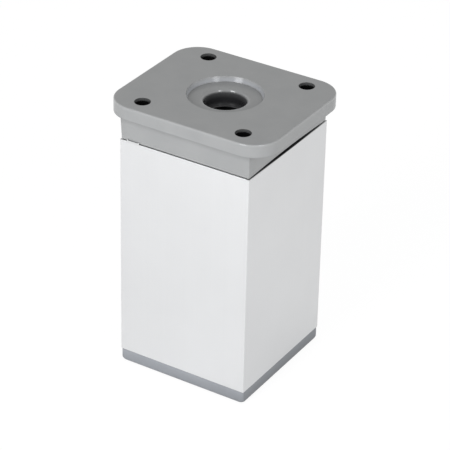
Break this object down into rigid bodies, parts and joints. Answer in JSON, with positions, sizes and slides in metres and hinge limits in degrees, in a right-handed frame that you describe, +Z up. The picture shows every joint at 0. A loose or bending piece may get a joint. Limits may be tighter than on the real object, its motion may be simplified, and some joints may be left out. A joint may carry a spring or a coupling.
{
  "type": "adjustable cabinet leg",
  "caption": "Square cabinet leg: extruded tube on a moulded foot, screw-on mounting plate above, raised and lowered by an inner levelling spindle reached through the plate.",
  "frame": {"origin": "middle of the sole, on the floor", "axes": "+Z up along the tube, the mounting plate's long side along X and its short side along Y"},
  "size_m": [0.0624, 0.0532, 0.1009],
  "materials": {
    "tube_aluminium": "fine matt anodised, bright sawn rim",
    "grey_plastic": "moulded, finely eroded surface",
    "zinc_steel": "turned and zinc plated",
    "spring_steel": "stamped, dark phosphate"
  },
  "bodies": {
    "lower_leg": {"tube": "tube_aluminium", "foot_cap": "grey_plastic", "thrust_washer": "zinc_steel"},
    "levelling_spindle": {"spindle": "zinc_steel", "retaining_clip": "spring_steel"},
    "upper_plate": {"mounting_plate": "grey_plastic", "spindle_nut": "zinc_steel"}
  },
  "joints": [
    {"name": "spindle_turn", "type": "hinge", "parent": "lower_leg", "child": "levelling_spindle", "pos_m": [0, 0, 0.05], "axis": [0, 0, -1], "range_deg": [0, 3600]},
    {"name": "height_slide", "type": "slide", "parent": "lower_leg", "child": "upper_plate", "axis": [0, 0, 1], "range_m": [0, 0.015]}
  ],
  "couplings": [
    {"joint": "spindle_turn", "follows": "height_slide", "rad_per_m": 4188.8}
  ]
}
